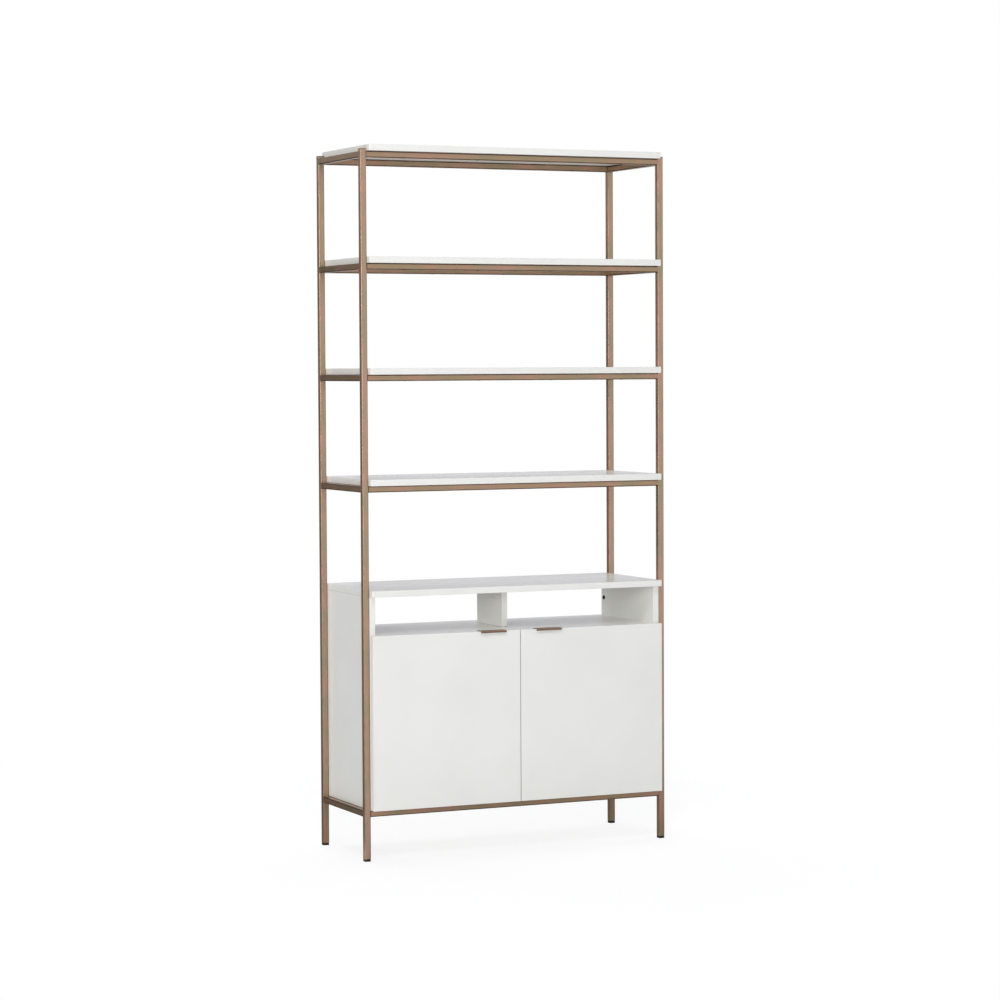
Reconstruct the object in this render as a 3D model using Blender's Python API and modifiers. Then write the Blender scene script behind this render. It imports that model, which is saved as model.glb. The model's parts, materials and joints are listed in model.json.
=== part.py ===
"""Modular bookcase: a square-tube frame with three open shelves and a top, over a two-door cabinet.

Metres, +Z up, +X to the viewer's right, +Y to the back. The origin is on the floor, under the middle
of the whole object.
"""

import math

import bmesh
import bpy
from mathutils import Matrix, Vector

# Frame of square tube
FRAME_WIDTH = 1.000  # over the posts
FRAME_DEPTH = 0.356
TUBE_SIDE = 0.019
TUBE_WALL = 0.0015
TUBE_CORNER = 0.0020  # outer corner radius
CORNER_SEGMENTS = 2
POST_REACH = 0.007  # posts stand this far above the top rails
BASE_CLEARANCE = 0.132  # floor to the underside of the base rails

# Plastic inserts in the post ends
GLIDE_HEIGHT = 0.007
GLIDE_INSET = 0.0004  # glide's side inside the tube's side
GLIDE_STEM = 0.018
GLIDE_CHAMFER = 0.0012
CAP_THICKNESS = 0.0015
CAP_STEM = 0.012

# Boards
BOARD_THICKNESS = 0.019  # top and shelves
CARCASS_THICKNESS = 0.018
BACK_THICKNESS = 0.006
BOARD_EASE = 0.0007  # rounding of every board edge
EASE_SEGMENTS = 1
CABINET_TOP_HEIGHT = 0.8025
SHELF_PITCH = 0.3275
OPEN_BAY_HEIGHT = 0.114
DIVIDER_SETBACK = 0.092  # from the front plane of the posts
DIVIDER_DEPTH = 0.184
INNER_SHELF_SETBACK = 0.022

# Doors
DOOR_THICKNESS = 0.019
DOOR_STANDOFF = 0.003  # bumpers hold the door this far off the carcass
DOOR_SIDE_GAP = 0.001
DOOR_CENTRE_GAP = 0.003
PIVOT_INSET = 0.0065  # door's turning axis, in from its outer edge
PIVOT_DEPTH = 0.009  # and forward of its rear face

# Edge pulls
PULL_LENGTH = 0.084
PULL_FROM_EDGE = 0.0485
PULL_THICKNESS = 0.0015
PULL_PROJECTION = 0.009
PULL_LIP = 0.008
PULL_FLANGE = 0.020

# Concealed hinges
HINGE_FROM_DOOR_END = 0.090
CUP_RADIUS = 0.0175
CUP_EDGE = 0.0045  # door's outer edge to the cup
CUP_DEPTH = 0.0115
CUP_WALL = 0.0012
CUP_SEGMENTS = 32
FLANGE_LENGTH = 0.052
FLANGE_WIDTH = 0.017
FLANGE_THICKNESS = 0.0012
PLATE_SETBACK = 0.037  # plate's middle behind the carcass's front edge
PLATE_LENGTH = 0.036
PLATE_HEIGHT = 0.044
PLATE_THICKNESS = 0.003
ARM_HEIGHT = 0.012
ARM_THICKNESS = 0.011
ARM_TAIL = 0.004  # arm behind the plate
ARM_NECK = 0.024  # slim front length of the arm
NOSE_RADIUS = 0.0032
NOSE_SEGMENTS = 8
PIN_OFFSET = 0.010  # arm pin, inward of the cup's centre
PIN_FORWARD = 0.0015  # and in front of the door's rear face
PIN_RADIUS = 0.0016
PIN_SEGMENTS = 16
LINK_LENGTH = 0.0165
LINK_THICKNESS = 0.0022
LINK_HEIGHT = 0.007
LINK_REST_ANGLE = math.radians(8)  # forward of straight across
CUP_PIN_RADIUS = 0.0015
CUP_PIN_FROM_TIP = 0.003  # back along the link from its tip
RUNNING_CLEARANCE = 0.00025

SEAT_GAP = 0.0003  # between pieces that touch
OVERRUN = 0.002  # cutters pass the faces they cut by this

# Places that follow from the sizes above
PANEL_OVERHANG = DOOR_THICKNESS + DOOR_STANDOFF
TOTAL_DEPTH = PULL_PROJECTION + PANEL_OVERHANG + FRAME_DEPTH
FRONT = PULL_PROJECTION + PANEL_OVERHANG - TOTAL_DEPTH / 2  # front plane of the posts
REAR = FRONT + FRAME_DEPTH
HALF_WIDTH = FRAME_WIDTH / 2
HALF_CLEAR = HALF_WIDTH - TUBE_SIDE  # from the middle to a post's inner face
HALF_BOARD = HALF_CLEAR - SEAT_GAP
HALF_INSIDE = HALF_BOARD - CARCASS_THICKNESS  # to a cabinet side's inner face

BOARD_TOPS = {
    "lower": CABINET_TOP_HEIGHT + SHELF_PITCH,
    "middle": CABINET_TOP_HEIGHT + 2 * SHELF_PITCH,
    "upper": CABINET_TOP_HEIGHT + 3 * SHELF_PITCH,
    "top": CABINET_TOP_HEIGHT + 4 * SHELF_PITCH,
}
RAIL_TOPS = {name: top - BOARD_THICKNESS - SEAT_GAP for name, top in BOARD_TOPS.items()}
RAIL_TOPS["base"] = BASE_CLEARANCE + TUBE_SIDE
POST_TOP = RAIL_TOPS["top"] + POST_REACH
TUBE_INSIDE = TUBE_SIDE - 2 * TUBE_WALL

CARCASS_BOTTOM = RAIL_TOPS["base"] + SEAT_GAP
BOTTOM_TOP = CARCASS_BOTTOM + CARCASS_THICKNESS
CABINET_TOP_UNDERSIDE = CABINET_TOP_HEIGHT - BOARD_THICKNESS
DECK_TOP = CABINET_TOP_UNDERSIDE - OPEN_BAY_HEIGHT
DECK_UNDERSIDE = DECK_TOP - CARCASS_THICKNESS
BACK_FRONT = REAR - BACK_THICKNESS

DOOR_BOTTOM = RAIL_TOPS["base"]
DOOR_TOP = DECK_TOP
DOOR_REAR = FRONT - DOOR_STANDOFF
DOOR_FRONT = DOOR_REAR - DOOR_THICKNESS
DOOR_OUTER = HALF_CLEAR - DOOR_SIDE_GAP  # outer edge, from the middle
DOOR_INNER = DOOR_CENTRE_GAP / 2

SIDES = {"left": -1, "right": 1}


def clear_scene():
    for obj in list(bpy.data.objects):
        bpy.data.objects.remove(obj)


def new_collection(name):
    collection = bpy.data.collections.new(name)
    bpy.context.scene.collection.children.link(collection)
    return collection


def material(name, color, roughness, metallic):
    made = bpy.data.materials.new(name)
    made.use_nodes = True
    shader = made.node_tree.nodes["Principled BSDF"]
    shader.inputs["Base Color"].default_value = (*color, 1)
    shader.inputs["Roughness"].default_value = roughness
    shader.inputs["Metallic"].default_value = metallic
    return made


clear_scene()
PARTS = new_collection("modular_bookcase")
CUTTERS = new_collection("cutters")
BRONZE = material("bronze_paint", (0.42, 0.28, 0.21), 0.35, 0.6)
WHITE = material("white_lacquer", (0.80, 0.80, 0.79), 0.15, 0.0)
BLACK = material("black_plastic", (0.02, 0.02, 0.02), 0.5, 0.0)
STEEL = material("nickel_plated_steel", (0.55, 0.54, 0.52), 0.3, 1.0)


def place(name, mesh, location, finish):
    """A mesh as a part, or as a hidden cutter where it has no finish."""
    piece = bpy.data.objects.new(name, mesh)
    piece.location = location
    if finish:
        mesh.materials.append(finish)
        PARTS.objects.link(piece)
    else:
        CUTTERS.objects.link(piece)
        piece.hide_render = True
        piece.display_type = "WIRE"
    return piece


def box(name, low, high, finish=None):
    """A block between two opposite corners."""
    low, high = Vector(low), Vector(high)
    shape = bmesh.new()
    bmesh.ops.create_cube(shape, size=1)
    bmesh.ops.scale(shape, vec=high - low, verts=shape.verts)
    mesh = bpy.data.meshes.new(name)
    shape.to_mesh(mesh)
    shape.free()
    return place(name, mesh, (low + high) / 2, finish)


def cylinder(name, centre, radius, length, segments, axis="Z", finish=None):
    """A round bar along an axis, centred on a point."""
    shape = bmesh.new()
    bmesh.ops.create_cone(
        shape, cap_ends=True, segments=segments, radius1=radius, radius2=radius, depth=length
    )
    if axis == "Y":
        bmesh.ops.rotate(shape, matrix=Matrix.Rotation(math.pi / 2, 3, "X"), verts=shape.verts)
    mesh = bpy.data.meshes.new(name)
    shape.to_mesh(mesh)
    shape.free()
    return place(name, mesh, centre, finish)


def prism(name, outlines, length, location, finish=None):
    """A flat outline, with any holes as further outlines, extruded along local Z about its middle."""
    curve = bpy.data.curves.new(name, "CURVE")
    curve.dimensions = "2D"
    curve.fill_mode = "BOTH"
    curve.extrude = length / 2
    for outline in outlines:
        spline = curve.splines.new("POLY")
        spline.points.add(len(outline) - 1)
        for point, (x, y) in zip(spline.points, outline):
            point.co = (x, y, 0, 1)
        spline.use_cyclic_u = True
    guide = bpy.data.objects.new(name + "_outline", curve)
    CUTTERS.objects.link(guide)
    graph = bpy.context.evaluated_depsgraph_get()
    mesh = bpy.data.meshes.new_from_object(guide.evaluated_get(graph))
    bpy.data.objects.remove(guide)
    bpy.data.curves.remove(curve)
    shape = bmesh.new()
    shape.from_mesh(mesh)
    bmesh.ops.remove_doubles(shape, verts=shape.verts, dist=1e-6)
    bmesh.ops.recalc_face_normals(shape, faces=shape.faces)
    shape.to_mesh(mesh)
    shape.free()
    return place(name, mesh, location, finish)


def combine(piece, other, operation):
    """Cuts the other shape from the piece, or joins it on."""
    modifier = piece.modifiers.new(operation.lower() + "_" + other.name, "BOOLEAN")
    modifier.operation = operation
    modifier.object = other


def ease(piece, width, segments=EASE_SEGMENTS):
    modifier = piece.modifiers.new("eased_edges", "BEVEL")
    modifier.width = width
    modifier.segments = segments


def carry(pieces, axis):
    """Hangs pieces on the empty that marks their turning axis, where they already are."""
    for piece in pieces:
        piece.parent = axis
        piece.matrix_parent_inverse = Matrix.Translation(-axis.location)


def arc(centre, radius, start, end, segments):
    """Points along an arc, both ends included."""
    angles = [start + (end - start) * step / segments for step in range(segments + 1)]
    return [(centre[0] + radius * math.cos(a), centre[1] + radius * math.sin(a)) for a in angles]


def rounded_square(side, radius):
    """A square outline with round corners, counter-clockwise."""
    reach = side / 2 - radius
    points = []
    for quarter, (x, y) in enumerate(((1, 1), (-1, 1), (-1, -1), (1, -1))):
        start = quarter * math.pi / 2
        points += arc((x * reach, y * reach), radius, start, start + math.pi / 2, CORNER_SEGMENTS)
    return points


def tube(name, low, high, axis):
    """A square tube, open at both ends, that fills the block between two opposite corners."""
    low, high = Vector(low), Vector(high)
    length = (high - low)["XYZ".index(axis)]
    outlines = [
        rounded_square(TUBE_SIDE, TUBE_CORNER),
        rounded_square(TUBE_INSIDE, TUBE_CORNER - TUBE_WALL),
    ]
    piece = prism(name, outlines, length, (low + high) / 2, BRONZE)
    piece.rotation_euler = {
        "X": (0, math.pi / 2, 0),
        "Y": (math.pi / 2, 0, 0),
        "Z": (0, 0, 0),
    }[axis]
    return piece


def square_insert(name, middle, head, stem, side, finish):
    """A head over a tube's end and a stem inside it. Head and stem are (low, high) heights."""
    half_head, half_stem = Vector((side, side)) / 2, Vector((TUBE_INSIDE,) * 2) / 2
    half_stem -= Vector((SEAT_GAP, SEAT_GAP))
    x_y = Vector(middle)
    piece = box(name, (*(x_y - half_head), head[0]), (*(x_y + half_head), head[1]), finish)
    peg = box(name + "_stem", (*(x_y - half_stem), stem[0]), (*(x_y + half_stem), stem[1]))
    combine(piece, peg, "UNION")
    return piece


def build_posts():
    tube_bottom = GLIDE_HEIGHT
    tube_top = POST_TOP - CAP_THICKNESS - SEAT_GAP
    for side, sign in SIDES.items():
        for depth, low_y in (("front", FRONT), ("rear", REAR - TUBE_SIDE)):
            low_x = min(sign * HALF_WIDTH, sign * HALF_CLEAR)
            where = f"{depth}_{side}"
            middle = (low_x + TUBE_SIDE / 2, low_y + TUBE_SIDE / 2)
            tube(
                "post_" + where,
                (low_x, low_y, tube_bottom),
                (low_x + TUBE_SIDE, low_y + TUBE_SIDE, tube_top),
                "Z",
            )
            build_glide(where, middle, tube_bottom)
            build_cap(where, middle, tube_top)


def build_glide(where, middle, tube_bottom):
    seat = tube_bottom - SEAT_GAP
    glide = square_insert(
        "foot_glide_" + where,
        middle,
        (0, seat),
        (seat - OVERRUN, seat + GLIDE_STEM),
        TUBE_SIDE - 2 * GLIDE_INSET,
        BLACK,
    )
    chamfer = glide.modifiers.new("chamfer", "BEVEL")
    chamfer.width = GLIDE_CHAMFER
    chamfer.segments = EASE_SEGMENTS
    glide.modifiers.move(1, 0)


def build_cap(where, middle, tube_top):
    cap = square_insert(
        "post_cap_" + where,
        middle,
        (POST_TOP - CAP_THICKNESS, POST_TOP),
        (tube_top - CAP_STEM, POST_TOP - CAP_THICKNESS / 2),
        TUBE_SIDE,
        BRONZE,
    )
    ease(cap, BOARD_EASE / 2)
    cap.modifiers.move(1, 0)


def build_rails():
    """One ring of four rails at each level. Front and rear rails run between the side rings' posts."""
    half_length = HALF_CLEAR - SEAT_GAP
    side_low = FRONT + TUBE_SIDE + SEAT_GAP
    side_high = REAR - TUBE_SIDE - SEAT_GAP
    for level, top in RAIL_TOPS.items():
        bottom = top - TUBE_SIDE
        for depth, low_y in (("front", FRONT), ("rear", REAR - TUBE_SIDE)):
            low = (-half_length, low_y, bottom)
            tube(f"rail_{level}_{depth}", low, (half_length, low_y + TUBE_SIDE, top), "X")
        for side, sign in SIDES.items():
            low_x = min(sign * HALF_WIDTH, sign * HALF_CLEAR)
            low = (low_x, side_low, bottom)
            tube(f"rail_{level}_{side}", low, (low_x + TUBE_SIDE, side_high, top), "Y")


def board(name, low, high):
    piece = box(name, low, high, WHITE)
    ease(piece, BOARD_EASE)
    return piece


def build_shelves():
    names = {"lower": "shelf_lower", "middle": "shelf_middle", "upper": "shelf_upper", "top": "top_board"}
    for level, top in BOARD_TOPS.items():
        low = (-HALF_BOARD, FRONT - PANEL_OVERHANG, top - BOARD_THICKNESS)
        board(names[level], low, (HALF_BOARD, REAR, top))


def build_carcass():
    between = HALF_INSIDE - SEAT_GAP
    board(
        "cabinet_top",
        (-HALF_BOARD, FRONT - PANEL_OVERHANG, CABINET_TOP_UNDERSIDE),
        (HALF_BOARD, REAR, CABINET_TOP_HEIGHT),
    )
    for side, sign in SIDES.items():
        low_x = min(sign * HALF_BOARD, sign * HALF_INSIDE)
        board(
            "cabinet_side_" + side,
            (low_x, FRONT, CARCASS_BOTTOM),
            (low_x + CARCASS_THICKNESS, REAR, CABINET_TOP_UNDERSIDE - SEAT_GAP),
        )
    board("cabinet_bottom", (-between, FRONT, CARCASS_BOTTOM), (between, REAR, BOTTOM_TOP))
    board("cabinet_deck", (-between, FRONT, DECK_UNDERSIDE), (between, REAR, DECK_TOP))
    board(
        "cabinet_back",
        (-between, BACK_FRONT, BOTTOM_TOP + SEAT_GAP),
        (between, REAR, DECK_UNDERSIDE - SEAT_GAP),
    )
    shelf_low = (BOTTOM_TOP + DECK_UNDERSIDE - CARCASS_THICKNESS) / 2
    board(
        "cabinet_inner_shelf",
        (-between, FRONT + INNER_SHELF_SETBACK, shelf_low),
        (between, BACK_FRONT - SEAT_GAP, shelf_low + CARCASS_THICKNESS),
    )
    divider_front = FRONT + DIVIDER_SETBACK
    board(
        "cabinet_divider",
        (-CARCASS_THICKNESS / 2, divider_front, DECK_TOP + SEAT_GAP),
        (CARCASS_THICKNESS / 2, divider_front + DIVIDER_DEPTH, CABINET_TOP_UNDERSIDE - SEAT_GAP),
    )


def pull_section():
    """The pull's bent strip from the side: (Y, Z), from the flange behind the door to the front lip."""
    inner = DOOR_REAR + SEAT_GAP
    lip_front = DOOR_FRONT - PULL_PROJECTION
    under = DOOR_TOP + SEAT_GAP
    top = under + PULL_THICKNESS
    return [
        (inner, top - PULL_FLANGE),
        (inner + PULL_THICKNESS, top - PULL_FLANGE),
        (inner + PULL_THICKNESS, top),
        (lip_front, top),
        (lip_front, top - PULL_LIP),
        (lip_front + PULL_THICKNESS, top - PULL_LIP),
        (lip_front + PULL_THICKNESS, under),
        (inner, under),
    ]


def build_pull(side, sign):
    middle = sign * (DOOR_INNER + PULL_FROM_EDGE + PULL_LENGTH / 2)
    pull = prism("door_pull_" + side, [pull_section()], PULL_LENGTH, (middle, 0, 0), BRONZE)
    # The outline's own X, Y and Z turn to the object's Y, Z and X.
    pull.rotation_euler = (math.pi / 2, 0, math.pi / 2)
    return pull


def cup_pin_place(pin, sign):
    """(X, Y) of the cup's cross pin: beside the link's tip, on its forward side, with the door shut."""
    cos, sin = math.cos(LINK_REST_ANGLE), math.sin(LINK_REST_ANGLE)
    along = LINK_LENGTH - CUP_PIN_FROM_TIP
    forward = LINK_THICKNESS / 2 + SEAT_GAP + CUP_PIN_RADIUS
    return pin[0] + sign * (along * cos - forward * sin), pin[1] - along * sin - forward * cos


def build_cup(name, middle, pin, sign):
    """A hinge's cup with its flange and cross pin, in a bore in the door's rear face."""
    x, z = middle
    flange_low = DOOR_REAR + SEAT_GAP
    flange_high = flange_low + FLANGE_THICKNESS
    cup = box(
        name,
        (x - FLANGE_WIDTH / 2, flange_low, z - FLANGE_LENGTH / 2),
        (x + FLANGE_WIDTH / 2, flange_high, z + FLANGE_LENGTH / 2),
        STEEL,
    )
    cup_floor = DOOR_REAR - CUP_DEPTH
    shell_centre = (x, (cup_floor + flange_high) / 2, z)
    shell = cylinder(name + "_shell", shell_centre, CUP_RADIUS, flange_high - cup_floor, CUP_SEGMENTS, "Y")
    combine(cup, shell, "UNION")
    hollow_low, hollow_high = cup_floor + CUP_WALL, flange_high + OVERRUN
    hollow = cylinder(
        name + "_hollow",
        (x, (hollow_low + hollow_high) / 2, z),
        CUP_RADIUS - CUP_WALL,
        hollow_high - hollow_low,
        CUP_SEGMENTS,
        "Y",
    )
    combine(cup, hollow, "DIFFERENCE")
    pin_x, pin_y = cup_pin_place(pin, sign)
    half_chord = math.sqrt((CUP_RADIUS - CUP_WALL) ** 2 - (pin_x - x) ** 2) + CUP_WALL / 2
    cross_pin = cylinder(name + "_pin", (pin_x, pin_y, z), CUP_PIN_RADIUS, 2 * half_chord, PIN_SEGMENTS)
    combine(cup, cross_pin, "UNION")
    return cup


def cut_cup_bore(door, name, middle):
    x, z = middle
    low, high = DOOR_REAR - CUP_DEPTH - SEAT_GAP, DOOR_REAR + OVERRUN
    bore = cylinder(
        name + "_bore", (x, (low + high) / 2, z), CUP_RADIUS + SEAT_GAP, high - low, CUP_SEGMENTS, "Y"
    )
    combine(door, bore, "DIFFERENCE")


def arm_outline(pin, sign):
    """The arm from above, as (X, Y) about its pin: a round nose, a slim neck and a body on the plate."""
    plate_face = HALF_INSIDE - SEAT_GAP - PLATE_THICKNESS
    on_plate = abs(pin[0]) - plate_face - PLATE_THICKNESS / 2
    body_front = FRONT + PLATE_SETBACK - PLATE_LENGTH / 2 - pin[1]
    body_rear = body_front + PLATE_LENGTH + ARM_TAIL
    inward = [
        *arc((0, 0), NOSE_RADIUS, math.pi, 2 * math.pi, NOSE_SEGMENTS),
        (NOSE_RADIUS, ARM_NECK),
        (on_plate + ARM_THICKNESS, body_rear),
        (on_plate, body_rear),
        (on_plate, body_front + PLATE_THICKNESS),
        (-NOSE_RADIUS, ARM_NECK - NOSE_RADIUS),
    ]
    # Inward is away from the cabinet side, so it is +X on the left and -X on the right.
    return [(-sign * across, along) for across, along in inward]


def build_arm(name, pin, height, sign):
    """A hinge's mounting plate and arm, on a cabinet side's inner face."""
    arm = prism(name, [arm_outline(pin, sign)], ARM_HEIGHT, (*pin, height), STEEL)
    plate_middle = FRONT + PLATE_SETBACK
    faces = sorted((sign * (HALF_INSIDE - SEAT_GAP), sign * (HALF_INSIDE - SEAT_GAP - PLATE_THICKNESS)))
    plate = box(
        name + "_plate",
        (faces[0], plate_middle - PLATE_LENGTH / 2, height - PLATE_HEIGHT / 2),
        (faces[1], plate_middle + PLATE_LENGTH / 2, height + PLATE_HEIGHT / 2),
    )
    combine(arm, plate, "UNION")
    reach = NOSE_RADIUS + OVERRUN
    half_slot = LINK_HEIGHT / 2 + SEAT_GAP
    slot = box(
        name + "_slot",
        (pin[0] - reach, pin[1] - reach, height - half_slot),
        (pin[0] + reach, pin[1] + NOSE_RADIUS, height + half_slot),
    )
    combine(arm, slot, "DIFFERENCE")
    hole = cylinder(
        name + "_hole",
        (*pin, height),
        PIN_RADIUS + RUNNING_CLEARANCE,
        ARM_HEIGHT + 2 * OVERRUN,
        PIN_SEGMENTS,
    )
    combine(arm, hole, "DIFFERENCE")
    return arm


def build_link(name, pin, height, sign):
    """A flat link and the pin that it turns on, from the arm's nose into the cup. Its origin is its pin."""
    half = LINK_THICKNESS / 2
    level = [
        *arc((0, 0), half, -math.pi / 2, math.pi / 2, NOSE_SEGMENTS),
        *arc((-(LINK_LENGTH - half), 0), half, math.pi / 2, 3 * math.pi / 2, NOSE_SEGMENTS),
    ]
    cos, sin = math.cos(LINK_REST_ANGLE), math.sin(LINK_REST_ANGLE)
    outline = [(-sign * (x * cos - y * sin), x * sin + y * cos) for x, y in level]
    link = prism(name, [outline], LINK_HEIGHT, (*pin, height), STEEL)
    combine(link, cylinder(name + "_pin", (*pin, height), PIN_RADIUS, ARM_HEIGHT, PIN_SEGMENTS), "UNION")
    return link


def build_doors():
    for side, sign in SIDES.items():
        edges = sorted((sign * DOOR_INNER, sign * DOOR_OUTER))
        door = board("door_" + side, (edges[0], DOOR_FRONT, DOOR_BOTTOM), (edges[1], DOOR_REAR, DOOR_TOP))
        carried = [door, build_pull(side, sign)]
        cup_x = sign * (DOOR_OUTER - CUP_EDGE - CUP_RADIUS)
        pin = (cup_x - sign * PIN_OFFSET, DOOR_REAR - PIN_FORWARD)
        heights = {"upper": DOOR_TOP - HINGE_FROM_DOOR_END, "lower": DOOR_BOTTOM + HINGE_FROM_DOOR_END}
        for level, height in heights.items():
            where = f"{side}_{level}"
            carried.append(build_cup("hinge_cup_" + where, (cup_x, height), pin, sign))
            cut_cup_bore(door, "hinge_cup_" + where, (cup_x, height))
            build_arm("hinge_arm_" + where, pin, height, sign)
            build_link("hinge_link_" + where, pin, height, sign)
        axis = bpy.data.objects.new(f"door_{side}_axis", None)
        axis.location = (sign * (DOOR_OUTER - PIVOT_INSET), DOOR_REAR - PIVOT_DEPTH, DOOR_BOTTOM)
        PARTS.objects.link(axis)
        carry(carried, axis)


build_posts()
build_rails()
build_shelves()
build_carcass()
build_doors()
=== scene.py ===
import json
import math

import bpy
import numpy as np
from mathutils import Matrix, Vector


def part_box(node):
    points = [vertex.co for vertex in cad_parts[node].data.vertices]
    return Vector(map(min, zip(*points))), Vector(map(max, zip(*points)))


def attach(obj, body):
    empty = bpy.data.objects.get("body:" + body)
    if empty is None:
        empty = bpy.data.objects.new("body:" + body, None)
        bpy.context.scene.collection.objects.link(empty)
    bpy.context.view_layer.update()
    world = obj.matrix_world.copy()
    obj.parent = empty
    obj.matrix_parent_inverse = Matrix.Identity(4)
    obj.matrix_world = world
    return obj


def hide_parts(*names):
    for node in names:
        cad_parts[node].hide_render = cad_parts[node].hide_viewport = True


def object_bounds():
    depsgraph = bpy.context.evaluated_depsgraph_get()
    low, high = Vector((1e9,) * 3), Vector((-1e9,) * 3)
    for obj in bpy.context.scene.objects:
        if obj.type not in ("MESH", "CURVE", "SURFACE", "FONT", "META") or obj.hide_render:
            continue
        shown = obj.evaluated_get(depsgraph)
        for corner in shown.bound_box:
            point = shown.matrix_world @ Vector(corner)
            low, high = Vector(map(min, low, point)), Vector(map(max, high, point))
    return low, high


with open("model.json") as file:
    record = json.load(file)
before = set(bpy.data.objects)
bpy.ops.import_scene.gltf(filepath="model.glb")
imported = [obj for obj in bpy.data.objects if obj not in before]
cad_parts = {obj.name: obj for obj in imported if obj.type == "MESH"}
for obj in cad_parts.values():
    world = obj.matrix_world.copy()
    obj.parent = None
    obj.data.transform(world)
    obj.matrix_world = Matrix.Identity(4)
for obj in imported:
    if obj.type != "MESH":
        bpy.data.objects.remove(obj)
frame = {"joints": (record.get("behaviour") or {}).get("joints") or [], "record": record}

cadLow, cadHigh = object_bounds()
mm = 0.001
margin = 0.4 * mm        # strip beside each rounded edge that keeps flat faces flat in the shading

record = frame["record"]
bodyOf = {node: body for body, nodes in record["behaviour"]["bodies"].items() for node in nodes}
jointPlace = {joint["name"]: np.array(joint["pos_m"]) for joint in frame["joints"]}
print("frame loaded:", len(bodyOf), "nodes")


# Shaping: every solid is rings of points, worked out as whole arrays.
# A solid is (points, faces, edge): edge is 1 on rounded edges and 0 on flats, where the bronze coats paint
# shade on tubes and a highlight on pulls.
# Rings is an array of rings x points x 3. Each ring runs counter-clockwise about the way the rings advance.
def ringSolid(rings, edge=None, wrapRings=False):
    rows, cols = rings.shape[:2]
    i = np.arange(rows if wrapRings else rows - 1)[:, None]
    j = np.arange(cols)[None, :]
    near, far = (i * cols), ((i + 1) % rows) * cols
    after = (j + 1) % cols
    quads = np.stack([near + j, near + after, far + after, far + j], axis=-1).reshape(-1, 4)
    faces = quads.tolist()
    if not wrapRings:
        faces.append(list(range(cols - 1, -1, -1)))
        faces.append(list(range((rows - 1) * cols, rows * cols)))
    if edge is None:
        edge = np.zeros((rows, cols))
    return rings.reshape(-1, 3), faces, np.broadcast_to(edge, (rows, cols)).reshape(-1)


# Round-cornered rectangle: a quarter circle at each corner, with one more point on each straight beside it.
def roundRectangle(halfA, halfB, radius, steps=5):
    quarter = np.linspace(0, math.pi / 2, steps + 1)
    angle = (np.arange(4) * math.pi / 2)[:, None] + np.concatenate([[0], quarter, [math.pi / 2]])
    shift = np.zeros_like(angle)
    shift[:, 0], shift[:, -1] = -margin, margin
    signA = np.array([1, -1, -1, 1])[:, None]
    signB = np.array([1, 1, -1, -1])[:, None]
    a = signA * (halfA - radius) + radius * np.cos(angle) - shift * np.sin(angle)
    b = signB * (halfB - radius) + radius * np.sin(angle) + shift * np.cos(angle)
    flag = np.where(shift == 0, 1.0, 0.0)
    return np.stack([a.ravel(), b.ravel()], axis=1), flag.ravel()


# Flat outlines (a, b) at heights n, as rings along one axis; a, b and n are X, Y and Z in turn order.
def stack(outlines, heights, axis, middle=(0, 0, 0)):
    rings = np.empty((len(outlines), len(outlines[0]), 3))
    for k, (outline, height) in enumerate(zip(outlines, heights)):
        rings[k, :, (axis + 1) % 3] = outline[:, 0]
        rings[k, :, (axis + 2) % 3] = outline[:, 1]
        rings[k, :, axis] = height
    return rings + np.array(middle)


# Quarter circle from a face to the side beside it: how far each ring lies in and how high it is.
def easing(ease, steps):
    turn = np.linspace(0, math.pi / 2, steps + 1)
    inset = np.concatenate([[ease + margin], ease * (1 - np.sin(turn)), [0]])
    rise = np.concatenate([[0], ease * (1 - np.cos(turn)), [ease + margin]])
    flag = np.concatenate([[0], np.ones(steps + 1), [0]])
    return inset, rise, flag


# A board or block with every edge rounded, thin along the axis given.
def slab(low, high, ease, thin, steps=4):
    low, high = np.array(low, float), np.array(high, float)
    half = (high - low) / 2
    corner = ease + 1.2 * margin     # stays round where the face's ring lies in by the ease and margin
    inset, rise, flag = easing(ease, steps)
    insets = np.concatenate([inset, inset[::-1]])
    heights = np.concatenate([rise - half[thin], (half[thin] - rise)[::-1]])
    halfA, halfB = half[(thin + 1) % 3], half[(thin + 2) % 3]
    outlines = [roundRectangle(halfA - i, halfB - i, corner - i)[0] for i in insets]
    roundFlag = roundRectangle(halfA, halfB, corner)[1]
    edge = np.maximum(np.concatenate([flag, flag[::-1]])[:, None], roundFlag[None, :])
    edge[[0, -1]] = 0        # the two flat faces
    return ringSolid(stack(outlines, heights, thin, (low + high) / 2), edge)


# Square tube with round corners and open ends, filling the block between two corners.
def squareTube(low, high, axis, wall, corner, endEase):
    low, high = np.array(low, float), np.array(high, float)
    half = (high - low) / 2
    halfA, halfB, length = half[(axis + 1) % 3], half[(axis + 2) % 3], half[axis]
    inner = max(corner - wall, 0.4 * mm)     # the bore's corners stay a little round
    outer = [roundRectangle(halfA - i, halfB - i, corner - i) for i in (endEase, 0, 0, 0, 0, endEase)]
    bore = roundRectangle(halfA - wall, halfB - wall, inner)[0]
    outlines = [outline for outline, flag in outer] + [bore, bore]
    near, beside = length - endEase, length - endEase - margin
    heights = [-length, -near, -beside, beside, near, length, length, -length]
    # the ends and the round corners are marked for the painted shade
    ends = np.array([1, 1, 0, 0, 1, 1, 0, 0])[:, None]
    edge = np.maximum(ends, outer[1][1][None, :]) * np.array([1] * 6 + [0] * 2)[:, None]
    return ringSolid(stack(outlines, heights, axis, (low + high) / 2), edge, wrapRings=True)


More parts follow.
